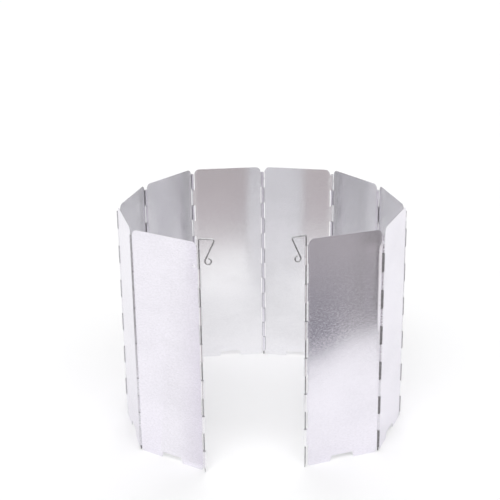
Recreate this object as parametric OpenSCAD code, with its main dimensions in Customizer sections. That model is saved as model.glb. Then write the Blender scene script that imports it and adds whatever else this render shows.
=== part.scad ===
// Folding stove windscreen: ten sheet panels hinged in a row on wire pins,
// standing as an open ring, with a hooked wire stake in each free edge.
// Millimetres, +Z up, front of the ring towards -Y, feet of the panels on Z = 0.

/* [Panels] */
// Height of a panel, from its feet to its top edge
panel_h = 240; // [180:1:320]
// Distance from one hinge axis to the next
pitch = 82.5; // [65:0.5:110]
// Thickness of the aluminium sheet
sheet_t = 0.4; // [0.3:0.05:0.6]
// Radius of the top corners
top_r = 6; // [2:0.5:12]
// Radius of the bottom corners
foot_r = 3; // [1:0.5:4]

/* [Foot notch] */
// Width of the notch at the feet
notch_foot_w = 26.5; // [16:0.5:40]
// Width of the notch at its top
notch_top_w = 22.5; // [10:0.5:40]
// Height of the notch
notch_h = 6; // [3:0.5:12]

/* [Hinge knuckles] */
// Diameter of the bore that the wire runs in
bore_d = 2.4; // [2.2:0.1:3]
// Number of knuckle rows in a hinge, shared by its two panels
rows = 12; // [6:2:16]
// Distance from the panel's top edge to the first row
zone_top_gap = 5.5; // [3:0.5:12]
// Distance from the feet to the last row
zone_foot_gap = 4.5; // [3:0.5:12]
// Free height between neighbouring knuckles
row_gap = 0.7; // [0.6:0.1:2]
// Distance from the axis to the sheet in the open rows of a hinged edge
window = 2.2; // [2.1:0.1:5]
// Distance from the axis to the sheet in the open rows of a free edge
window_free = 3.2; // [2.2:0.1:5]
// Gap between the end of a curl and its sheet
curl_gap = 0.35; // [0.2:0.05:0.5]
// Distance between the sheets of two neighbours that lie folded together
fold_lay = 0.7; // [0.6:0.05:0.9]

/* [Crimps] */
// Depth of the crimp below the top of its knuckle
crimp_drop = 8; // [4:0.5:12]
// Radius of the crimp's round back
crimp_r = 1.2; // [1.1:0.05:1.5]
// Straight length of the crimp
crimp_len = 1; // [0:0.1:4]
// How far the crimp stands out of the knuckle
crimp_rise = 0.6; // [0.1:0.05:0.8]

/* [Wire] */
// Diameter of the hinge pins and of the stakes
wire_d = 1.5; // [1.2:0.1:1.8]
// Height of the wires' lower ends above the ground
wire_foot = 0.4; // [0.2:0.1:3]
// Chamfer on the ends of the hinge pins
pin_chamfer = 0.3; // [0.1:0.1:0.5]
// Depth of a pin's top end inside its first knuckle
pin_sink = 1; // [0:0.5:4]

/* [Stakes] */
// Height of the handle's crossbar above the panel's top edge
bar_rise = 4.5; // [3:0.5:12]
// Reach of the handle from the stake's axis
hook_reach = 14.5; // [12:0.5:24]
// Radius of the bends, on the wire's centre line
bend_r = 1.7; // [1.5:0.1:2.6]
// Slope of the handle's return leg, from the vertical
leg_slope = 25; // [20:1:29]
// Length of the return leg
leg_len = 20; // [12:0.5:22]
// Radius of the curl that ends the handle
curl_r = 3; // [2:0.1:3.4]
// Turn of the end curl
curl_turn = 290; // [180:5:295]
// Length of the chisel point
point_len = 7; // [3:0.5:12]
// Turn of the left handle out of its panel's plane
hook_turn_left = 24; // [0:1:30]
// Turn of the right handle out of its panel's plane
hook_turn_right = 2; // [0:1:30]

/* [Standing pose] */
// Heading of the first panel, from its free edge to its hinge
first_yaw = 145.5; // [140:0.1:160]
// Turn at hinge 1, between panels 1 and 2
turn_1 = 39.7; // [30:0.1:50]
// Turn at hinge 2, between panels 2 and 3
turn_2 = 30.6; // [25:0.1:45]
// Turn at hinge 3, between panels 3 and 4
turn_3 = 20.8; // [15:0.1:40]
// Turn at hinge 4, between panels 4 and 5
turn_4 = 50.0; // [30:0.1:55]
// Turn at hinge 5, between panels 5 and 6
turn_5 = 14.8; // [12:0.1:40]
// Turn at hinge 6, between panels 6 and 7
turn_6 = 46.1; // [30:0.1:50]
// Turn at hinge 7, between panels 7 and 8
turn_7 = 19.5; // [15:0.1:40]
// Turn at hinge 8, between panels 8 and 9
turn_8 = 36.4; // [25:0.1:45]
// Turn at hinge 9, between panels 9 and 10
turn_9 = 44.9; // [30:0.1:50]

/* [Hidden] */
panels = 10;
wire_r = wire_d / 2;
bore_r = bore_d / 2;
barrel_r = bore_r + sheet_t;
row_h = (panel_h - zone_top_gap - zone_foot_gap) / rows;
zone_top = panel_h - zone_top_gap;
knuckle_h = row_h - row_gap;
// Half the gap between a run of wire and its bend, and the length of the thin sleeve that closes it
joint_gap = 0.05;
joint_len = 0.4;
// The curl starts a hair inside the sheet's outer face
curl_bite = 0.03;
// Distance from a hinge axis to the middle of its sheet, in the panels that lie far out and those that lie near
lay_far = barrel_r - sheet_t / 2 - curl_bite;
lay_near = lay_far - fold_lay;
near_panels = [2, 4, 7, 9];
// Panels with a left or a right edge rolled to the outside of the ring; all other edges are rolled to the inside
out_left = [1, 3, 5];
out_right = [6, 8, 10];
turns = [turn_1, turn_2, turn_3, turn_4, turn_5, turn_6, turn_7, turn_8, turn_9];
$fn = 48;

// Heading of panel k, and the place of hinge axis k counted from the left free edge
function yaw(k) = k == 1 ? first_yaw : yaw(k - 1) - turns[k - 2];
function walk(k) = k == 0 ? [0, 0] : walk(k - 1) + pitch * [cos(yaw(k)), sin(yaw(k))];
left_hook_yaw = yaw(1) + 180 + hook_turn_left;
right_hook_yaw = yaw(panels) + hook_turn_right;
steps = [for (k = [0:panels]) walk(k)];
hook_ends = [
    steps[0] + hook_reach * [cos(left_hook_yaw), sin(left_hook_yaw)],
    steps[panels] + hook_reach * [cos(right_hook_yaw), sin(right_hook_yaw)]
];
// The origin is the middle of the ring's box
function low(i) = min(min([for (p = steps) p[i]]) - barrel_r, min([for (p = hook_ends) p[i]]) - wire_r);
function high(i) = max(max([for (p = steps) p[i]]) + barrel_r, max([for (p = hook_ends) p[i]]) + wire_r);
middle = [(low(0) + high(0)) / 2, (low(1) + high(1)) / 2];
function axis_at(k) = steps[k] - middle;
function has(list, k) = len([for (p = list) if (p == k) p]) > 0;
function lay_of(k) = has(near_panels, k) ? lay_near : lay_far;
// How far the sheet lies outside the axis of its left and of its right edge
function left_off(k) = has(out_left, k) ? -lay_of(k) : lay_of(k);
function right_off(k) = has(out_right, k) ? -lay_of(k) : lay_of(k);
function row_base(i) = zone_top - i * row_h + row_gap / 2;
function two(k) = str(k < 10 ? "0" : "", k);

// Corner waste left by a round corner, at the origin of the first quadrant
module corner_waste(r) {
    difference() {
        translate([-1, -1])
            square(r + 1);
        translate([r, r])
            circle(r);
    }
}

// Outline of a panel's flat sheet: from_x and to_x are its edges, w the span between its axes
module sheet_outline(w, from_x, to_x) {
    difference() {
        translate([from_x, 0])
            square([to_x - from_x, panel_h]);
        translate([w / 2, 0])
            polygon([
                [-notch_foot_w / 2, -1],
                [-notch_foot_w / 2, 0],
                [-notch_top_w / 2, notch_h],
                [notch_top_w / 2, notch_h],
                [notch_foot_w / 2, 0],
                [notch_foot_w / 2, -1]
            ]);
        translate([from_x, 0])
            corner_waste(foot_r);
        translate([to_x, 0])
            mirror([1, 0])
                corner_waste(foot_r);
        translate([from_x, panel_h])
            mirror([0, 1])
                corner_waste(top_r);
        translate([to_x, panel_h])
            rotate(180)
                corner_waste(top_r);
    }
    for (i = [2:2:rows])
        translate([0, row_base(i)])
            square([from_x + 1, knuckle_h]);
    for (i = [1:2:rows])
        translate([to_x - 1, row_base(i)])
            square([w - to_x + 1, knuckle_h]);
}

// One curl, rolled up from a sheet at the distance lay: dir 1 for a sheet to the right, side 1 for one below the axis
module curl(lay, dir, side) {
    slot_x = dir > 0 ? curl_gap : -curl_gap - barrel_r - 1;
    slot_y = side > 0 ? -lay : lay - sheet_t / 2 - curl_gap;
    linear_extrude(knuckle_h)
        difference() {
            circle(barrel_r);
            translate([slot_x, slot_y])
                square([barrel_r + 1, sheet_t / 2 + curl_gap]);
        }
}

// Crimp on the side of a curl that faces the next panel, pressed down to the wire
module crimp() {
    back = barrel_r + crimp_rise - crimp_r;
    intersection() {
        union() {
            for (end = [-1, 1])
                translate([0, back, end * crimp_len / 2])
                    sphere(crimp_r);
            translate([0, back, -crimp_len / 2])
                cylinder(h = crimp_len, r = crimp_r);
        }
        translate([-barrel_r, wire_r + 0.02, -crimp_len - crimp_r])
            cube([2 * barrel_r, 2 * barrel_r, 2 * (crimp_len + crimp_r)]);
    }
}

// Panel k, between hinge axes k - 1 and k
module panel(k) {
    lay = lay_of(k);
    left = left_off(k);
    right = right_off(k);
    slant = asin((right - left) / pitch);
    w = pitch * cos(slant);
    from_x = k == 1 ? window_free : window;
    to_x = w - (k == panels ? window_free : window);
    color("#c9ccd2")
        translate(axis_at(k - 1))
            rotate(yaw(k) + slant)
                translate([0, left, 0]) {
                    difference() {
                        union() {
                            rotate([90, 0, 0])
                                linear_extrude(sheet_t, center = true)
                                    sheet_outline(w, from_x, to_x);
                            for (i = [2:2:rows])
                                translate([0, -left, row_base(i)])
                                    curl(lay, 1, -left);
                            for (i = [1:2:rows])
                                translate([w, -right, row_base(i)])
                                    curl(lay, -1, -right);
                        }
                        translate([0, -left, 0])
                            cylinder(h = panel_h, r = bore_r);
                        translate([w, -right, 0])
                            cylinder(h = panel_h, r = bore_r);
                    }
                    if (k < panels)
                        translate([w, -right, zone_top - row_gap / 2 - crimp_drop])
                            rotate(-90)
                                crimp();
                }
}

// Wire pin of hinge k
module hinge_pin(k) {
    top = zone_top - row_gap / 2 - pin_sink;
    color("#8b8f96")
        translate([axis_at(k)[0], axis_at(k)[1], wire_foot]) {
            cylinder(h = pin_chamfer, r1 = wire_r - pin_chamfer, r2 = wire_r);
            translate([0, 0, pin_chamfer])
                cylinder(h = top - wire_foot - 2 * pin_chamfer, r = wire_r);
            translate([0, 0, top - wire_foot - pin_chamfer])
                cylinder(h = pin_chamfer, r1 = wire_r, r2 = wire_r - pin_chamfer);
        }
}

// A bend of the wire about the origin, in the XZ plane, from angle a on by turn degrees
module wire_bend(r, a, turn) {
    trim = joint_gap / r * 180 / PI;
    rotate([90, 0, 0])
        rotate(a + trim)
            rotate_extrude(angle = turn - 2 * trim)
                translate([r, 0])
                    circle(wire_r);
}

// A straight run of wire in the XZ plane from a point, tilted from straight up towards +X
module wire_run(from, tilt, length) {
    translate([from[0], 0, from[1]])
        rotate([0, tilt, 0])
            translate([0, 0, joint_gap])
                cylinder(h = length - 2 * joint_gap, r = wire_r);
}

// Joint between a run and a bend, tilted as the run is
module wire_joint(at, tilt) {
    translate([at[0], 0, at[1]])
        rotate([0, tilt, 0])
            cylinder(h = joint_len, r = wire_r + joint_gap, center = true);
}

// Stake on the Z axis, its handle towards +X
module stake() {
    bar_z = panel_h + bar_rise;
    bar_from = [bend_r, bar_z];
    bar_to = [hook_reach - bend_r, bar_z];
    shank_top = [0, bar_z - bend_r];
    corner = [hook_reach - bend_r, bar_z - bend_r];
    leg_top = corner + bend_r * [cos(leg_slope), -sin(leg_slope)];
    leg_end = leg_top + leg_len * [-sin(leg_slope), -cos(leg_slope)];
    eye = leg_end + curl_r * [cos(leg_slope), -sin(leg_slope)];
    difference() {
        translate([0, 0, wire_foot])
            cylinder(h = shank_top[1] - wire_foot - joint_gap, r = wire_r);
        translate([wire_r / 2, -2 * wire_r, wire_foot])
            rotate([0, -atan(1.5 * wire_r / point_len), 0])
                translate([-4 * wire_r, 0, -2])
                    cube([4 * wire_r, 4 * wire_r, point_len + 4]);
    }
    wire_joint(shank_top, 0);
    translate([bend_r, 0, bar_z - bend_r])
        wire_bend(bend_r, 90, 90);
    wire_joint(bar_from, 90);
    wire_run(bar_from, 90, hook_reach - 2 * bend_r);
    wire_joint(bar_to, 90);
    translate([corner[0], 0, corner[1]])
        wire_bend(bend_r, -leg_slope, 90 + leg_slope);
    wire_joint(leg_top, 180 + leg_slope);
    wire_run(leg_top, 180 + leg_slope, leg_len);
    wire_joint(leg_end, 180 + leg_slope);
    translate([eye[0], 0, eye[1]])
        wire_bend(curl_r, 180 - leg_slope, curl_turn);
}

module end_stake_left() {
    color("#9a9da3")
        translate(axis_at(0))
            rotate(left_hook_yaw)
                stake();
}

module end_stake_right() {
    color("#9a9da3")
        translate(axis_at(panels))
            rotate(right_hook_yaw)
                stake();
}

for (k = [1:panels])
    panel(k);
for (k = [1:panels - 1])
    hinge_pin(k);
end_stake_left();
end_stake_right();
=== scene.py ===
import math

import bmesh
import bpy
import numpy as np
from mathutils import Matrix, Vector, geometry


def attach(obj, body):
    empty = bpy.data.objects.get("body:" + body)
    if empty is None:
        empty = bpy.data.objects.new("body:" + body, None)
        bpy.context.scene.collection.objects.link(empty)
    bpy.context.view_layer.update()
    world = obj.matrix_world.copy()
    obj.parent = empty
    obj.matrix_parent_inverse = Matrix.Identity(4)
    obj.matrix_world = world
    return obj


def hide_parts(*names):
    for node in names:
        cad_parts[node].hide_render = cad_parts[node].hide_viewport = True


# Looks of the folding stove windscreen: rolled sheet panels, wire hinge pins and hooked end stakes,
# on a stage of floor, reflection cards, lamps and camera.

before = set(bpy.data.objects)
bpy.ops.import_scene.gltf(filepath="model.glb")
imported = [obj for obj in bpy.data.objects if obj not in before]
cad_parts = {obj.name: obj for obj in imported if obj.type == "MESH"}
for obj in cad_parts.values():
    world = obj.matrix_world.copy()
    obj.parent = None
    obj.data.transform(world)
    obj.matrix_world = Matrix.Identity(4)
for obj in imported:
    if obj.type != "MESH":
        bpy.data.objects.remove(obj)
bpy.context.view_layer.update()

MM = 0.001

# Sizes of the solids, in millimetres and degrees
PANELS, ROWS = 10, 12
PANEL_H, PITCH, SHEET_T = 240.0, 82.5, 0.4
TOP_R, FOOT_R = 6.0, 3.0
NOTCH_FOOT, NOTCH_TOP, NOTCH_H = 26.5, 22.5, 6.0
BORE_R, WIRE_R = 1.2, 0.75
ZONE_TOP_GAP, ZONE_FOOT_GAP, ROW_GAP = 5.5, 4.5, 0.7
# From an axis to the flat part of the sheet, at a hinge and at a free edge
WINDOW, WINDOW_FREE = 2.2, 3.2
# From the middle of the sheet to its axes, and the panels that lie nearer
LAY_FAR, LAY_NEAR = 1.37, 0.67
NEAR_PANELS = (2, 4, 7, 9)
# Panels whose left or right edge is rolled outwards
OUT_LEFT, OUT_RIGHT = (1, 3, 5), (6, 8, 10)
CRIMP_DROP, CRIMP_RISE, CRIMP_HALF_W, CRIMP_HALF_H = 8.0, 0.6, 1.15, 1.6
WIRE_FOOT, PIN_SINK = 0.4, 1.0
BAR_RISE, HOOK_REACH, BEND_R = 4.5, 14.5, 1.7
LEG_SLOPE, LEG_LEN = 25.0, 20.0
CURL_R, CURL_TURN, POINT_LEN = 3.0, 290.0, 7.0
HOOK_TURN_LEFT, HOOK_TURN_RIGHT = 24.0, 2.0
FIRST_YAW = 145.5
TURNS = (39.7, 30.6, 20.8, 50.0, 14.8, 46.1, 19.5, 36.4, 44.9)

BARREL_R = BORE_R + SHEET_T
ROLL_R = BORE_R + SHEET_T / 2
ROW_H = (PANEL_H - ZONE_TOP_GAP - ZONE_FOOT_GAP) / ROWS
KNUCKLE_H = ROW_H - ROW_GAP
ZONE_TOP = PANEL_H - ZONE_TOP_GAP

# Forms of the looks alone: a dimple in the first panel, a soft bend in the last, waves and edges
DIMPLE, DIMPLE_DEPTH, DIMPLE_R = (7.6, 216.0), 0.4, 1.7
DIMPLE_RINGS, DIMPLE_CLEAR = (0.5, 1.0, 1.5, 2.2), 3.2
BEND_RISE, BEND_AT, BEND_TOP, BEND_FOOT = 0.36, 4.6, 224.0, 140.0
BEND_COLUMNS, BEND_CLEAR = (1.1, 2.2, 3.3, 4.6, 6.2, 8.6, 11.5, 15.0), 17
WAVE_SEED, WAVE_TERMS, WAVE_SIZE, BOW_SIZE = 40, 5, 0.035, 0.10
EDGE_ROUND, EDGE_ANGLE = 0.07, 50
# Painted shade in the hinge recesses, its strength at the head and at the foot, by panel and edge
# (-1 left, 1 right)
HINGE_SHADE = {(1, 1): (0.75, 0.35), (2, -1): (0.75, 0.35), (9, 1): (0.25, 0.20), (10, -1): (1.0, 1.0)}
HINGE_SHADE_PLAIN = (0.75, 0.75)
HINGE_SHADE_TURNS_AT, HINGE_SHADE_TURNS_OVER = 80, 60

# Steps of the meshes
GRID, GRID_CLEAR, EDGE_STEP = 4.2, 1.9, 4.0
TAB_STEP, TAB_STEP_FINE = 3.1, 0.55
ROLL_LEAD, ROLL_STEP, PATH_STEP, PATH_SOFTEN = 2.0, 0.33, 0.01, 41


def row_base(i):
    return ZONE_TOP - i * ROW_H + ROW_GAP / 2


def heading(degrees):
    a = math.radians(degrees)
    return np.array([math.cos(a), math.sin(a)])


# Plan of the ring: headings of the panels and places of the hinge axes
YAW = [FIRST_YAW - sum(TURNS[:k]) for k in range(PANELS)]
axes = [np.zeros(2)]
for yaw in YAW:
    axes.append(axes[-1] + PITCH * heading(yaw))
axes = np.array(axes)
LEFT_YAW = YAW[0] + 180 + HOOK_TURN_LEFT
RIGHT_YAW = YAW[-1] + HOOK_TURN_RIGHT
hook_ends = np.array([axes[0] + HOOK_REACH * heading(LEFT_YAW),
                      axes[-1] + HOOK_REACH * heading(RIGHT_YAW)])
low = np.minimum(axes.min(0) - BARREL_R, hook_ends.min(0) - WIRE_R)
high = np.maximum(axes.max(0) + BARREL_R, hook_ends.max(0) + WIRE_R)
axes -= (low + high) / 2


# Materials
class Tree:
    """The nodes of a material or a world, with short ways to add to them."""

    def __init__(self, owner):
        owner.use_nodes = True
        self.nodes, self.links = owner.node_tree.nodes, owner.node_tree.links

    def add(self, kind, **values):
        n = self.nodes.new(kind)
        for key, value in values.items():
            if key in n.inputs:
                n.inputs[key].default_value = value
            else:
                setattr(n, key, value)
        return n

    def link(self, source, target):
        self.links.new(source, target)

    def attribute(self, name, output):
        return self.add("ShaderNodeAttribute", attribute_name=name).outputs[output]

    def noise(self, at, stretch, scale, detail, rough):
        """A noise texture on coordinates that are stretched first."""
        mapping = self.add("ShaderNodeMapping", Scale=stretch)
        self.link(at, mapping.inputs["Vector"])
        tex = self.add("ShaderNodeTexNoise", Scale=scale, Detail=detail, Roughness=rough)
        self.link(mapping.outputs["Vector"], tex.inputs["Vector"])
        return tex.outputs["Fac"]

    def span(self, value, low_in, high_in, low_out, high_out):
        """Maps a range of a value onto another range."""
        r = self.add("ShaderNodeMapRange")
        r.inputs["From Min"].default_value = low_in
        r.inputs["From Max"].default_value = high_in
        r.inputs["To Min"].default_value = low_out
        r.inputs["To Max"].default_value = high_out
        self.link(value, r.inputs["Value"])
        return r.outputs["Result"]

    def calc(self, operation, a, b=0.0):
        """One sum of two values, each a socket or a plain number."""
        n = self.add("ShaderNodeMath", operation=operation)
        for socket, value in zip(n.inputs, (a, b)):
            if isinstance(value, (int, float)):
                socket.default_value = value
            else:
                self.link(value, socket)
        return n.outputs["Value"]

    def plus(self, a, b):
        return self.calc("ADD", a, b)

    def minus(self, a, b):
        return self.calc("SUBTRACT", a, b)

    def times(self, a, b):
        return self.calc("MULTIPLY", a, b)

    def mix(self, share, first, second):
        """Mixes two colours, each a socket or plain numbers."""
        n = self.add("ShaderNodeMix", data_type="RGBA")
        self.link(share, n.inputs[0])
        for socket, value in zip((n.inputs[6], n.inputs[7]), (first, second)):
            if isinstance(value, tuple):
                socket.default_value = (*value, 1)
            else:
                self.link(value, socket)
        return n.outputs[2]

    def bump(self, height, strength, distance, bsdf):
        n = self.add("ShaderNodeBump", Strength=strength, Distance=distance)
        self.link(height, n.inputs["Height"])
        self.link(n.outputs["Normal"], bsdf.inputs["Normal"])


def new_material(name):
    material = bpy.data.materials.new(name)
    tree = Tree(material)
    return material, tree, tree.nodes["Principled BSDF"]


def sheet_aluminium():
    """Satin sheet, blurred upwards by its level rolling lines, with grain, smudges, specks and
    painted shade in the hinge recesses.
    """
    m, t, bsdf = new_material("sheet_aluminium")
    at = t.attribute("sheet", "Vector")
    recess_shade, inner = t.attribute("recess_shade", "Fac"), t.attribute("inner", "Fac")
    brush = t.noise(at, (0.45, 1.0, 1.0), 800.0, 1.0, 0.5)
    speckle = t.noise(at, (0.8, 1.0, 1.0), 420.0, 1.5, 0.5)
    smudge = t.noise(at, (0.6, 1.0, 1.0), 26.0, 5.0, 0.6)
    clouds = t.noise(at, (0.5, 1.0, 1.0), 11.0, 3.0, 0.5)
    waves = t.noise(at, (1.0, 0.35, 1.0), 38.0, 2.0, 0.4)
    # the inner skin has the finer finish
    grain = t.times(t.minus(brush, 0.5), t.span(inner, 0.0, 1.0, 1.0, 0.45))
    stain = t.span(smudge, 0.46, 0.72, 0.0, 1.0)
    # scratches: thin lines where the waves cross their middle, in some places only
    line = t.span(t.calc("ABSOLUTE", t.minus(waves, 0.5)), 0.0, 0.0035, 1.0, 0.0)
    line = t.times(line, t.span(clouds, 0.54, 0.62, 0.0, 1.0))
    # dark specks in one cell of five
    cells = t.add("ShaderNodeTexVoronoi", Scale=24.0)
    t.link(at, cells.inputs["Vector"])
    chance = t.add("ShaderNodeSeparateColor")
    t.link(cells.outputs["Color"], chance.inputs["Color"])
    speck = t.times(t.span(cells.outputs["Distance"], 0.008, 0.016, 1.0, 0.0),
                    t.span(chance.outputs["Red"], 0.80, 0.81, 0.0, 1.0))
    # a duller strip beside each hinge
    place = t.add("ShaderNodeSeparateXYZ")
    t.link(at, place.inputs["Vector"])
    from_left = t.minus(place.outputs["X"], WINDOW * MM)
    from_right = t.minus((PITCH - WINDOW) * MM, place.outputs["X"])
    rim = t.span(t.calc("MINIMUM", from_left, from_right), 0.0006, 0.0042, 1.0, 0.0)

    shade = t.plus(t.times(stain, 0.30), t.times(line, 0.35))
    shade = t.plus(shade, t.span(speckle, 0.3, 0.7, 0.13, 0.31))
    shade = t.plus(shade, t.span(clouds, 0.3, 0.7, -0.12, 0.12))
    # painted light: the inner skin is painted lighter than the outer, brightening the inside of the
    # ring
    light = t.mix(inner, (0.905, 0.882, 0.945), (0.960, 0.955, 0.975))
    dark = t.mix(inner, (0.74, 0.72, 0.775), (0.785, 0.780, 0.80))
    base = t.mix(speck, t.mix(shade, light, dark), (0.12, 0.11, 0.11))
    # painted shade: the hinge rolls darken to near black where they turn into the recesses
    recess_dark = t.times(recess_shade, t.span(speckle, 0.3, 0.7, 0.75, 0.95))
    t.link(t.mix(recess_dark, base, (0.13, 0.125, 0.125)), bsdf.inputs["Base Color"])

    rough = t.plus(t.span(grain, -0.2, 0.2, 0.085, 0.195), t.times(stain, 0.03))
    rough = t.plus(rough, t.times(rim, 0.05))
    # the painted recess shade also makes the rolls rougher
    rough = t.plus(rough, t.times(recess_shade, 0.25))
    t.link(rough, bsdf.inputs["Roughness"])
    t.link(t.span(grain, -0.2, 0.2, 0.77, 0.87), bsdf.inputs["Metallic"])

    t.bump(t.minus(brush, t.times(line, 0.2)), 1.0, 0.000015, bsdf)
    upright = t.add("ShaderNodeCombineXYZ", Z=1.0)
    t.link(upright.outputs["Vector"], bsdf.inputs["Tangent"])
    bsdf.inputs["Anisotropic"].default_value = 0.9
    bsdf.inputs["Specular IOR Level"].default_value = 0.2
    bsdf.inputs["Specular Tint"].default_value = (0.95, 0.95, 0.96, 1)
    return m


def cut_edge():
    """Sheared edge of the sheet: duller and darker, with fine tear lines."""
    m, t, bsdf = new_material("sheet_cut_edge")
    tear = t.noise(t.attribute("sheet", "Vector"), (1.0, 1.0, 1.0), 2600.0, 3.0, 0.6)
    t.link(t.mix(tear, (0.58, 0.575, 0.59), (0.40, 0.395, 0.41)), bsdf.inputs["Base Color"])
    t.link(t.span(tear, 0.3, 0.7, 0.34, 0.48), bsdf.inputs["Roughness"])
    t.bump(tear, 0.4, 0.00002, bsdf)
    bsdf.inputs["Metallic"].default_value = 1.0
    return m


def drawn_wire(name, light, dark, rough_low, rough_high):
    """Drawn steel wire: lines along its length, from the mesh's own along and around values."""
    m, t, bsdf = new_material(name)
    lift = t.add("ShaderNodeCombineXYZ")
    t.link(t.attribute("along", "Fac"), lift.inputs["Z"])
    total = t.add("ShaderNodeVectorMath", operation="ADD")
    t.link(t.attribute("around", "Vector"), total.inputs[0])
    t.link(lift.outputs["Vector"], total.inputs[1])
    at = total.outputs["Vector"]
    lines = t.noise(at, (1.0, 1.0, 0.03), 5200.0, 3.0, 0.6)
    patches = t.noise(at, (1.0, 1.0, 0.5), 160.0, 4.0, 0.6)
    mixed = t.plus(t.span(lines, 0.35, 0.7, 0.0, 0.5), t.span(patches, 0.5, 0.75, 0.0, 0.6))
    t.link(t.mix(mixed, light, dark), bsdf.inputs["Base Color"])
    t.link(t.span(patches, 0.35, 0.7, rough_low, rough_high), bsdf.inputs["Roughness"])
    t.bump(lines, 0.4, 0.00002, bsdf)
    bsdf.inputs["Metallic"].default_value = 1.0
    return m


ALUMINIUM, CUT_EDGE = sheet_aluminium(), cut_edge()
PIN_STEEL = drawn_wire("pin_steel", (0.30, 0.30, 0.31), (0.16, 0.155, 0.155), 0.26, 0.44)
STAKE_STEEL = drawn_wire("stake_steel", (0.46, 0.46, 0.47), (0.25, 0.245, 0.245), 0.20, 0.38)


# Panels
def smooth(f):
    return f * f * (3 - 2 * f)


def roll_path(window, lay):
    """Centre line of a knuckle, from the sheet's edge round the axis: lengths, points and normals.

    The sheet comes from -X at height 0, and the axis is at (0, -lay)."""
    centre = np.array([0.0, -lay])
    start = np.array([-ROLL_LEAD, 0.0])
    lead = window - ROLL_LEAD
    reach = np.linalg.norm(centre - start)
    tilt = math.atan2(centre[1] - start[1], centre[0] - start[0])
    tilt += math.asin(min(1.0, ROLL_R / reach))
    straight = math.sqrt(reach ** 2 - ROLL_R ** 2)
    # the roll ends just short of the sheet
    end_angle = math.asin(max(0.0, (lay - SHEET_T / 2 - 0.35) / BARREL_R))
    wrap = math.pi / 2 + tilt + 2 * math.pi - (math.pi - end_angle)
    round_from = lead + straight
    s = np.arange(0.0, round_from + ROLL_R * wrap, PATH_STEP)
    turn = np.where(s < lead, 0.0, tilt)
    turn = np.where(s > round_from, tilt - (s - round_from) / ROLL_R, turn)
    half = PATH_SOFTEN // 2
    beyond = turn[-1] - np.arange(1, half + 1) * PATH_STEP / ROLL_R
    padded = np.concatenate([np.zeros(half), turn, beyond])
    turn = np.convolve(padded, np.ones(PATH_SOFTEN) / PATH_SOFTEN, mode="valid")
    direction = np.stack([np.cos(turn), np.sin(turn)], -1)
    steps = np.cumsum(direction[:-1] * PATH_STEP, 0)
    points = np.array([-window, 0.0]) + np.concatenate([[[0, 0]], steps])
    # the softened bend drifts a little off the axis: shift the roll back on to it
    ring = points[s > round_from + 0.3]
    a = np.c_[2 * ring, np.ones(len(ring))]
    found = np.linalg.lstsq(a, (ring ** 2).sum(1), rcond=None)[0][:2]
    share = smooth(np.clip(s / round_from, 0, 1))
    points = points + share[:, None] * (centre - found)
    tangent = np.gradient(points, axis=0)
    tangent /= np.linalg.norm(tangent, axis=1)[:, None]
    normals = np.stack([-tangent[:, 1], tangent[:, 0]], -1)
    return s, points, normals


def sample(path, at):
    s, points, normals = path
    p = np.array([np.interp(at, s, points[:, i]) for i in (0, 1)])
    n = np.array([np.interp(at, s, normals[:, i]) for i in (0, 1)])
    return p, n / np.linalg.norm(n)


def arc(cx, cz, r, a0, a1, count):
    return [(cx + r * math.cos(math.radians(a0 + (a1 - a0) * i / count)),
             cz + r * math.sin(math.radians(a0 + (a1 - a0) * i / count))) for i in range(count + 1)]


def spread(a, b, step):
    """Evenly spaced values from a to b, ends included, about step apart."""
    count = max(1, int(round(abs(b - a) / step)))
    return [a + (b - a) * i / count for i in range(count + 1)]


def tab_levels(i, fine):
    base = row_base(i)
    return spread(base, base + KNUCKLE_H, TAB_STEP_FINE if fine else TAB_STEP)


def flat_outline(left, right, mid, crimped):
    """Outline of the flat part, anticlockwise, with points at every level of the knuckles."""
    loop = arc(left + FOOT_R, FOOT_R, FOOT_R, 180, 270, 8)
    loop += [(x, 0.0) for x in spread(left + FOOT_R, mid - NOTCH_FOOT / 2, EDGE_STEP)[1:]]
    loop += [(mid - NOTCH_TOP / 2, NOTCH_H)]
    loop += [(x, NOTCH_H) for x in spread(mid - NOTCH_TOP / 2, mid + NOTCH_TOP / 2, EDGE_STEP)[1:]]
    loop += [(mid + NOTCH_FOOT / 2, 0.0)]
    loop += [(x, 0.0) for x in spread(mid + NOTCH_FOOT / 2, right - FOOT_R, EDGE_STEP)[1:-1]]
    loop += arc(right - FOOT_R, FOOT_R, FOOT_R, 270, 360, 8)
    for i in range(ROWS - 1, 0, -2):
        loop += [(right, z) for z in tab_levels(i, crimped and i == 1)]
        if i > 1:
            gap_low, gap_high = row_base(i) + KNUCKLE_H, row_base(i - 2)
            loop += [(right, z) for z in spread(gap_low, gap_high, EDGE_STEP)[1:-1]]
    loop += arc(right - TOP_R, PANEL_H - TOP_R, TOP_R, 0, 90, 12)
    loop += [(x, PANEL_H) for x in spread(right - TOP_R, left + TOP_R, EDGE_STEP)[1:-1]]
    loop += arc(left + TOP_R, PANEL_H - TOP_R, TOP_R, 90, 180, 12)
    for i in range(2, ROWS + 1, 2):
        loop += [(left, z) for z in reversed(tab_levels(i, False))]
        if i < ROWS:
            gap_high, gap_low = row_base(i), row_base(i + 2) + KNUCKLE_H
            loop += [(left, z) for z in spread(gap_high, gap_low, EDGE_STEP)[1:-1]]
    clean = []
    for p in loop:
        if not clean or math.dist(p, clean[-1]) > 1e-4:
            clean.append(p)
    if math.dist(clean[0], clean[-1]) < 1e-4:
        clean.pop()
    return clean


def inside(p, loop):
    x, z = p
    hit = False
    for (x0, z0), (x1, z1) in zip(loop, loop[1:] + loop[:1]):
        if (z0 > z) != (z1 > z) and x < x0 + (z - z0) / (z1 - z0) * (x1 - x0):
            hit = not hit
    return hit


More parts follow.
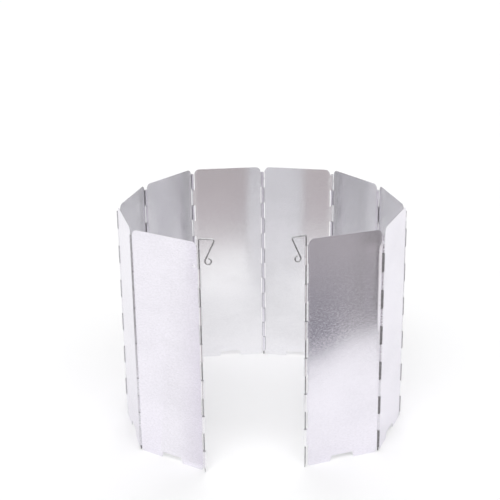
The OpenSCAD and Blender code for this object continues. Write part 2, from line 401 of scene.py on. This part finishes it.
def flat_part(k, left, right, mid):
    """Points and faces of the flat part of panel k."""
    loop = flat_outline(left, right, mid, k < PANELS)
    grid = [(x, z) for x in spread(left, right, GRID)[1:-1] for z in spread(0, PANEL_H, GRID)[1:-1]]
    edge = np.array(loop)
    keep = [p for p in grid
            if inside(p, loop) and np.min(np.hypot(*(edge - p).T)) > GRID_CLEAR]
    if k == 1:
        # the dimple is pressed beside the top knuckle of the free edge
        keep = [p for p in keep if math.dist(p, DIMPLE) > DIMPLE_CLEAR]
        keep += [DIMPLE] + [p for r in DIMPLE_RINGS for p in arc(*DIMPLE, r, 0, 330, 11)]
    if k == PANELS:
        # columns for the soft bend along the hinged edge
        keep = [p for p in keep if p[0] > left + BEND_CLEAR]
        keep += [(left + d, z) for d in BEND_COLUMNS
                 for z in spread(0, PANEL_H, GRID)[2:-2] if z < PANEL_H - 8]
    flat = [Vector(p) for p in loop + keep]
    rim = [(i, (i + 1) % len(loop)) for i in range(len(loop))]
    verts, _, faces, *_ = geometry.delaunay_2d_cdt(flat, rim, [], 1, 1e-5)
    return [tuple(v) for v in verts], [tuple(f) for f in faces]


def sheet_waves(k, left, right):
    """How far the sheet of panel k stands off its plane, as a function of place."""
    wave = np.random.default_rng(WAVE_SEED + k)
    terms = [(wave.uniform(0.4, 1.4), wave.uniform(0.5, 2.2), wave.uniform(0, 6.28),
              wave.uniform(0, 6.28), wave.uniform(-1, 1)) for _ in range(WAVE_TERMS)]
    bow = wave.uniform(-BOW_SIZE, BOW_SIZE)

    def ripple(x, z):
        u, v = (x - left) / (right - left), z / PANEL_H
        total = bow * 4 * u * (1 - u)
        for fx, fz, px, pz, size in terms:
            total += WAVE_SIZE * size * math.sin(6.28 * fx * u + px) * math.sin(6.28 * fz * v + pz)
        total *= smooth(min(1.0, max(0.0, min(u, 1 - u) * 8)))
        if k == 1:
            near = max(0.0, 1 - (math.dist((x, z), DIMPLE) / DIMPLE_R) ** 2)
            total -= DIMPLE_DEPTH * near * near
        if k == PANELS:
            d = (x - left) / BEND_AT
            shape = 1 - (1 - d) ** 2 if d < 1 else math.exp(-((d - 1) / 2.2) ** 2)
            head = 0.5 * (1 + math.tanh((BEND_TOP - z) / 5))
            foot = 0.6 + 0.4 * math.tanh((z - BEND_FOOT) / 18)
            total += BEND_RISE * shape * head * foot
        return total

    return ripple


def crimp(p, z, lay):
    """Raises a point of the top knuckle where the crimp stands out."""
    radial = p - np.array([0.0, -lay])
    radial /= np.linalg.norm(radial)
    off = math.atan2(radial[1], radial[0]) * ROLL_R / CRIMP_HALF_W
    up = (z - (ZONE_TOP - ROW_GAP / 2 - CRIMP_DROP)) / CRIMP_HALF_H
    r2 = off * off + up * up
    return p + radial * CRIMP_RISE * (1 - r2) ** 1.4 if r2 < 1 else p


def roll_edge(k, lay, width, edge, index, placed, faces):
    """Rolls the tabs of one edge of panel k round their axis, from the flat part's own points."""
    edge_x, way, side, window, rows = edge
    path = roll_path(window, lay)
    recess_dark_head, recess_dark_foot = HINGE_SHADE.get((k, way), HINGE_SHADE_PLAIN)
    lead = window - ROLL_LEAD
    stops = [lead * 0.5, lead] if lead > 0.6 else [lead]
    stops += spread(lead, path[0][-1], ROLL_STEP)[1:]
    for i in rows:
        crimped = k < PANELS and way > 0 and i == 1
        levels = tab_levels(i, crimped)
        previous = [index[(round(edge_x, 3), round(z, 3))] for z in levels]
        for s in stops:
            p, n = sample(path, s)
            current = []
            for z in levels:
                q = crimp(p, z, lay) if crimped and s > lead + 1.0 else p
                # the path rolls to -Y at the right edge: turned over for the left edge and side
                where = np.array([way * q[0] + (width if way > 0 else 0.0), -side * q[1]])
                normal = np.array([-side * way * n[0], n[1]])
                # painted shade: an inward roll darkens as it turns away into the hinge recess, with
                # a strength set for the head and the foot
                recess_shading = max(0.0, min(1.0, (n[1] + 0.1) / 0.6, s / 0.5)) if side < 0 else 0.0
                up = min(1.0, max(0.0, (z - HINGE_SHADE_TURNS_AT) / HINGE_SHADE_TURNS_OVER))
                recess_shading *= recess_dark_foot + (recess_dark_head - recess_dark_foot) * up
                current.append(len(placed))
                placed.append((where, normal, z, edge_x + way * s, recess_shading))
            for a in range(len(levels) - 1):
                quad = (previous[a], current[a], current[a + 1], previous[a + 1])
                faces.append(quad if way > 0 else quad[::-1])
            previous = current


def sheet_mesh(k, placed, faces, origin, ex, ey):
    """Gives the placed points of panel k their thickness, walls and attributes."""
    count = len(placed)
    co = np.zeros((2 * count, 3))
    sheet = np.zeros((2 * count, 3), np.float32)
    recess_shade = np.zeros(2 * count, np.float32)
    for i, (p, n, z, run, recess_shading) in enumerate(placed):
        recess_shade[i] = recess_shading
        for half, sign in ((0, 0.5), (count, -0.5)):
            q = p + n * SHEET_T * sign
            flat_xy = origin + ex * q[0] + ey * q[1]
            co[half + i] = (flat_xy[0], flat_xy[1], z)
            sheet[half + i] = (run * MM, z * MM, 0.37 * k + (0.15 if half else 0.0))
    # the face winding (x, z) looks along -Y, so the outer skin is turned over
    skin = [f[::-1] for f in faces] + [tuple(v + count for v in f) for f in faces]
    seen = {}
    for f in faces:
        for a, b in zip(f, f[1:] + f[:1]):
            seen[(a, b)] = True
    wall = [(a, b, b + count, a + count) for a, b in seen if (b, a) not in seen]
    mesh = bpy.data.meshes.new(f"panel_sheet_{k:02d}")
    mesh.from_pydata((co * MM).tolist(), [], skin + wall)
    add = mesh.attributes.new
    add("sheet", "FLOAT_VECTOR", "POINT").data.foreach_set("vector", sheet.ravel())
    # painted shade of the hinge recesses, read by the material
    add("recess_shade", "FLOAT", "POINT").data.foreach_set("value", recess_shade)
    inner = np.repeat(np.array([0.0, 1.0], np.float32), count)
    add("inner", "FLOAT", "POINT").data.foreach_set("value", inner)
    for f in mesh.polygons[len(skin):]:
        f.material_index = 1
    bm = bmesh.new()
    bm.from_mesh(mesh)
    bmesh.ops.join_triangles(bm, faces=[f for f in bm.faces if len(f.verts) == 3],
                             angle_face_threshold=0.1, angle_shape_threshold=0.7)
    bmesh.ops.recalc_face_normals(bm, faces=bm.faces[:])
    for f in bm.faces:
        f.smooth = True
    bm.to_mesh(mesh)
    bm.free()
    return mesh


def panel(k):
    """Panel k as one closed rolled sheet, in the row frame."""
    lay = LAY_NEAR if k in NEAR_PANELS else LAY_FAR
    side_left, side_right = (1 if k in OUT_LEFT else -1), (1 if k in OUT_RIGHT else -1)
    slant = math.asin((side_left - side_right) * lay / PITCH)
    width = PITCH * math.cos(slant)
    left = WINDOW_FREE if k == 1 else WINDOW
    right = width - (WINDOW_FREE if k == PANELS else WINDOW)

    # each placed point has its place and normal in plan, height, run over the sheet and painted
    # recess shade
    points, faces = flat_part(k, left, right, width / 2)
    ripple = sheet_waves(k, left, right)
    placed = [(np.array([x, ripple(x, z)]), np.array([0.0, 1.0]), z, x, 0.0) for x, z in points]
    index = {(round(x, 3), round(z, 3)): i for i, (x, z) in enumerate(points)}
    for edge in ((left, -1, side_left, left, range(2, ROWS + 1, 2)),
                 (right, 1, side_right, width - right, range(1, ROWS, 2))):
        roll_edge(k, lay, width, edge, index, placed, faces)

    turn = math.radians(YAW[k - 1]) + slant
    ex = np.array([math.cos(turn), math.sin(turn)])
    ey = np.array([-math.sin(turn), math.cos(turn)])
    mesh = sheet_mesh(k, placed, faces, axes[k - 1] - ey * lay * side_left, ex, ey)
    obj = bpy.data.objects.new(f"panel_sheet_{k:02d}", mesh)
    bpy.context.scene.collection.objects.link(obj)
    bevel = obj.modifiers.new("edge", "BEVEL")
    bevel.width = EDGE_ROUND * MM
    bevel.segments = 2
    bevel.limit_method = "ANGLE"
    bevel.angle_limit = math.radians(EDGE_ANGLE)
    bevel.harden_normals = True
    mesh.materials.append(ALUMINIUM)
    mesh.materials.append(CUT_EDGE)
    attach(obj, f"panel_{k:02d}")
    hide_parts(f"panel_{k:02d}")


# Wire
def tube(name, path, radii, material, sides=20, squash_tip=None):
    """A closed round wire along a path of points, with a radius at each point."""
    path = np.array(path, float)
    tangent = np.gradient(path, axis=0)
    tangent /= np.linalg.norm(tangent, axis=1)[:, None]
    normal = np.array([1.0, 0, 0]) if abs(tangent[0][0]) < 0.9 else np.array([0, 1.0, 0])
    co, around, along = [], [], []
    travelled = 0.0
    for i, (p, t) in enumerate(zip(path, tangent)):
        normal = normal - t * (normal @ t)
        normal /= np.linalg.norm(normal)
        side = np.cross(t, normal)
        if i:
            travelled += np.linalg.norm(p - path[i - 1])
        for j in range(sides):
            a = 2 * math.pi * j / sides
            unit = normal * math.cos(a) + side * math.sin(a)
            co.append(p + unit * radii[i])
            around.append((math.cos(a) * WIRE_R * MM, math.sin(a) * WIRE_R * MM, 0.0))
            along.append(travelled * MM)
    n = len(path)
    faces = [(i * sides + j, i * sides + (j + 1) % sides,
              (i + 1) * sides + (j + 1) % sides, (i + 1) * sides + j)
             for i in range(n - 1) for j in range(sides)]
    faces.append(tuple(reversed(range(sides))))
    faces.append(tuple(range((n - 1) * sides, n * sides)))
    if squash_tip:
        co = [squash_tip(c) for c in co]
    mesh = bpy.data.meshes.new(name)
    mesh.from_pydata((np.array(co) * MM).tolist(), [], faces)
    along, around = np.array(along, np.float32), np.array(around, np.float32)
    add = mesh.attributes.new
    add("along", "FLOAT", "POINT").data.foreach_set("value", along)
    add("around", "FLOAT_VECTOR", "POINT").data.foreach_set("vector", around.ravel())
    for f in mesh.polygons:
        f.use_smooth = True
    mesh.set_sharp_from_angle(angle=math.radians(40))
    mesh.update()
    obj = bpy.data.objects.new(name, mesh)
    bpy.context.scene.collection.objects.link(obj)
    mesh.materials.append(material)
    return obj


def pin(k):
    """Hinge pin k: a cut wire with slightly rounded ends."""
    foot, top = WIRE_FOOT, ZONE_TOP - ROW_GAP / 2 - PIN_SINK
    x, y = axes[k]
    ends = [(foot, WIRE_R - 0.3), (foot + 0.04, WIRE_R - 0.2), (foot + 0.12, WIRE_R - 0.09),
            (foot + 0.3, WIRE_R)]
    stops = ends + [(z, WIRE_R) for z in spread(foot + 0.3, top - 0.3, 6.0)[1:-1]]
    stops += [(top - (z - foot), r) for z, r in reversed(ends)]
    route, radii = [(x, y, z) for z, _ in stops], [r for _, r in stops]
    obj = tube(f"pin_wire_{k:02d}", route, radii, PIN_STEEL)
    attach(obj, f"panel_{k:02d}")
    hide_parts(f"hinge_pin_{k:02d}")


def stake(name, axis, yaw, body, cad_node):
    """End stake: chisel point, straight shank, crossbar, sloping leg and end curl, of one wire."""
    bar_z = PANEL_H + BAR_RISE
    shank_from = WIRE_FOOT + POINT_LEN + 1
    slope = math.radians(LEG_SLOPE)
    corner = (HOOK_REACH - BEND_R, bar_z - BEND_R)
    route = [(0.0, WIRE_FOOT + z) for z in (0.0, 0.06, 0.15)]
    route += [(0.0, z) for z in spread(WIRE_FOOT + 0.6, shank_from, 0.6)]
    route += [(0.0, z) for z in spread(shank_from, bar_z - BEND_R, 8.0)[1:]]
    route += arc(BEND_R, bar_z - BEND_R, BEND_R, 180, 90, 12)[1:]
    route += [(x, bar_z) for x in spread(BEND_R, corner[0], 1.5)[1:]]
    route += arc(*corner, BEND_R, 90, -LEG_SLOPE, 14)[1:]
    leg_top = np.array(route[-1])
    leg_end = leg_top + LEG_LEN * np.array([-math.sin(slope), -math.cos(slope)])
    route += [tuple(leg_top + (leg_end - leg_top) * f) for f in np.linspace(0, 1, 12)[1:]]
    eye = leg_end + CURL_R * np.array([math.cos(slope), -math.sin(slope)])
    route += arc(*eye, CURL_R, 180 - LEG_SLOPE, 180 - LEG_SLOPE + CURL_TURN, 40)[1:]
    # both ends are slightly rounded
    radii = [WIRE_R] * len(route)
    radii[-1], radii[0], radii[1] = WIRE_R - 0.16, WIRE_R - 0.12, WIRE_R - 0.04
    tail = np.array(route[-1]) - np.array(route[-2])
    tail /= np.linalg.norm(tail)
    route.insert(-1, tuple(np.array(route[-1]) - tail * 0.12))
    radii.insert(-1, WIRE_R)
    h = heading(yaw)

    def chisel(c):
        """The point is cut on the side away from the handle."""
        local = (np.array(c[:2]) - axis) @ h
        plane = WIRE_R / 2 - (c[2] - WIRE_FOOT) / POINT_LEN * 1.5 * WIRE_R
        if c[2] < WIRE_FOOT + POINT_LEN + 0.01 and local < plane:
            moved = np.array(c[:2]) + h * (plane - local)
            return np.array([moved[0], moved[1], c[2]])
        return np.array(c)

    points = [(axis[0] + h[0] * x, axis[1] + h[1] * x, z) for x, z in route]
    obj = tube(name, points, radii, STAKE_STEEL, sides=24, squash_tip=chisel)
    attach(obj, body)
    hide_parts(cad_node)


for k in range(1, PANELS + 1):
    panel(k)
for k in range(1, PANELS):
    pin(k)
stake("stake_wire_left", axes[0], LEFT_YAW, "stake_left", "end_stake_left")
stake("stake_wire_right", axes[-1], RIGHT_YAW, "stake_right", "end_stake_right")

# Floor, light and camera, in metres
FLOOR = [(-15, -15), (15, -15), (15, 15), (-15, 15)]
# glowing cards of painted reflection, which only the metal sees
FRONT_CARD = [(-0.6, -3), (3, -3), (3, -0.98), (0.42, -0.32), (0.365, -0.283), (0.325, -0.316),
              (-0.1, -0.271), (-0.6, -0.45)]
LEFT_CARD = [(-0.014, -0.174), (-2.923, -1.312), (-2.957, -1.224), (-0.109, -0.109)]
FRONT_CARD_Z, LEFT_CARD_Z = 0.001, 0.0015
LAMP_ANGLE, SKY_LIGHT = 36, 0.6
LENS, SENSOR, SHIFT_Y = 75.853, 36.0, -0.04
CAMERA_AT = (-0.002921, -1.062970, 0.550724)
CAMERA_DOWN, CAMERA_AZIMUTH, CAMERA_ROLL = 17.8815, -0.487, -0.6985


def slab(name, corners, z, material):
    mesh = bpy.data.meshes.new(name)
    mesh.from_pydata([(x, y, z) for x, y in corners], [], [tuple(range(len(corners)))])
    obj = bpy.data.objects.new(name, mesh)
    bpy.context.scene.collection.objects.link(obj)
    mesh.materials.append(material)
    return obj


def floor():
    m, t, bsdf = new_material("pale_floor")
    at = t.add("ShaderNodeTexCoord").outputs["Object"]
    fibre = t.noise(at, (1, 1, 1), 60.0, 4.0, 0.6)
    t.link(t.mix(fibre, (0.955, 0.955, 0.955), (0.945, 0.945, 0.947)), bsdf.inputs["Base Color"])
    bsdf.inputs["Roughness"].default_value = 0.9
    bsdf.inputs["Specular IOR Level"].default_value = 0.0
    slab("floor", FLOOR, 0, m)


def card(name, corners, z, paint):
    """A glowing card of painted reflection on the white floor, which only the metal's reflections
    see: its grey paint puts dark reflections into the panels.
    """
    m, t, bsdf = new_material(name)
    at = t.add("ShaderNodeTexCoord").outputs["Object"]

    def along(x, y, start, end):
        """Runs from 0 to 1 between two distances in a direction over the card."""
        dot = t.add("ShaderNodeVectorMath", operation="DOT_PRODUCT")
        t.link(at, dot.inputs[0])
        dot.inputs[1].default_value = (x, y, 0)
        return t.span(dot.outputs["Value"], start, end, 0.0, 1.0)

    light = t.add("ShaderNodeEmission", Strength=1.0)
    t.link(paint(along, t.mix), light.inputs["Color"])
    t.link(light.outputs["Emission"], t.nodes["Material Output"].inputs["Surface"])
    t.nodes.remove(bsdf)
    obj = slab(name, corners, z, m)
    obj.visible_camera = obj.visible_diffuse = False
    obj.visible_shadow = obj.visible_transmission = False


def front_paint(along, mix):
    """Painted reflection: mid grey before the opening, darker and bluer to the right, pale at the
    far right.
    """
    middle = mix(along(0, -1, 0.50, 0.75), (0.415, 0.360, 0.380), (0.300, 0.252, 0.258))
    over_left = along(-0.647, -0.763, 0.035, 0.075)
    over_right = along(0.647, 0.763, -0.055, -0.028)
    near = mix(over_left, (0.205, 0.195, 0.210), (0.050, 0.046, 0.090))
    near = mix(over_right, near, (0.060, 0.050, 0.062))
    far = mix(over_right, (0.295, 0.270, 0.275), (0.045, 0.030, 0.036))
    right = mix(along(0.763, -0.647, 0.42, 0.80), near, far)
    right = mix(along(0.647, 0.763, 0.0, 0.060), right, (0.74, 0.70, 0.69))
    return mix(along(0.83, 0.55, -0.16, -0.03), middle, right)


def left_paint(along, mix):
    """Painted reflection: white, turning lilac grey towards the front."""
    return mix(along(0.365, -0.931, 0.078, 0.112), (1.0, 1.0, 1.0), (0.78, 0.752, 0.81))


def lamp(name, place, irradiance):
    data = bpy.data.lights.new(name, "SUN")
    data.angle = math.radians(LAMP_ANGLE)
    data.energy = irradiance
    obj = bpy.data.objects.new(name, data)
    obj.location = place
    obj.rotation_euler = (-Vector(place)).to_track_quat("-Z", "Y").to_euler()
    bpy.context.scene.collection.objects.link(obj)


def studio():
    """A soft white sky, plain white where the camera or a reflection looks at it."""
    world = bpy.data.worlds.new("studio")
    bpy.context.scene.world = world
    t = Tree(world)
    sky = t.nodes["Background"]
    sky.inputs["Color"].default_value = (1, 1, 1, 1)
    sky.inputs["Strength"].default_value = SKY_LIGHT
    white = t.add("ShaderNodeBackground", Color=(1, 1, 1, 1), Strength=1.0)
    rays = t.add("ShaderNodeLightPath").outputs
    looks = t.calc("MAXIMUM", rays["Is Camera Ray"], rays["Is Glossy Ray"])
    looks = t.calc("MAXIMUM", looks, rays["Is Transmission Ray"])
    either = t.add("ShaderNodeMixShader")
    t.link(looks, either.inputs[0])
    t.link(sky.outputs[0], either.inputs[1])
    t.link(white.outputs[0], either.inputs[2])
    t.link(either.outputs[0], t.nodes["World Output"].inputs["Surface"])


def camera():
    """The photograph's camera, as fitted to the hinge lines and corners."""
    data = bpy.data.cameras.new("camera")
    data.sensor_fit = "HORIZONTAL"
    data.sensor_width = SENSOR
    data.lens = LENS
    data.shift_y = SHIFT_Y
    data.clip_start, data.clip_end = 0.05, 50.0
    obj = bpy.data.objects.new("camera", data)
    bpy.context.scene.collection.objects.link(obj)
    el, az, roll = (math.radians(v) for v in (CAMERA_DOWN, CAMERA_AZIMUTH, CAMERA_ROLL))
    forward = Vector((math.sin(az) * math.cos(el), math.cos(az) * math.cos(el), -math.sin(el)))
    across = Vector((math.cos(az), -math.sin(az), 0.0))
    upward = across.cross(forward)
    right = across * math.cos(roll) + upward * math.sin(roll)
    up = upward * math.cos(roll) - across * math.sin(roll)
    obj.matrix_world = Matrix((
        (right.x, up.x, -forward.x, CAMERA_AT[0]),
        (right.y, up.y, -forward.y, CAMERA_AT[1]),
        (right.z, up.z, -forward.z, CAMERA_AT[2]),
        (0, 0, 0, 1),
    ))
    bpy.context.scene.camera = obj


floor()
card("front_card", FRONT_CARD, FRONT_CARD_Z, front_paint)
card("left_card", LEFT_CARD, LEFT_CARD_Z, left_paint)
lamp("key", (-0.6, -1.3, 1.9), 0.75)
lamp("fill", (0.7, -1.2, 1.9), 0.54)
lamp("back", (0.1, 1.05, 2.0), 0.55)
studio()
camera()
bpy.context.scene.view_settings.view_transform = "Standard"
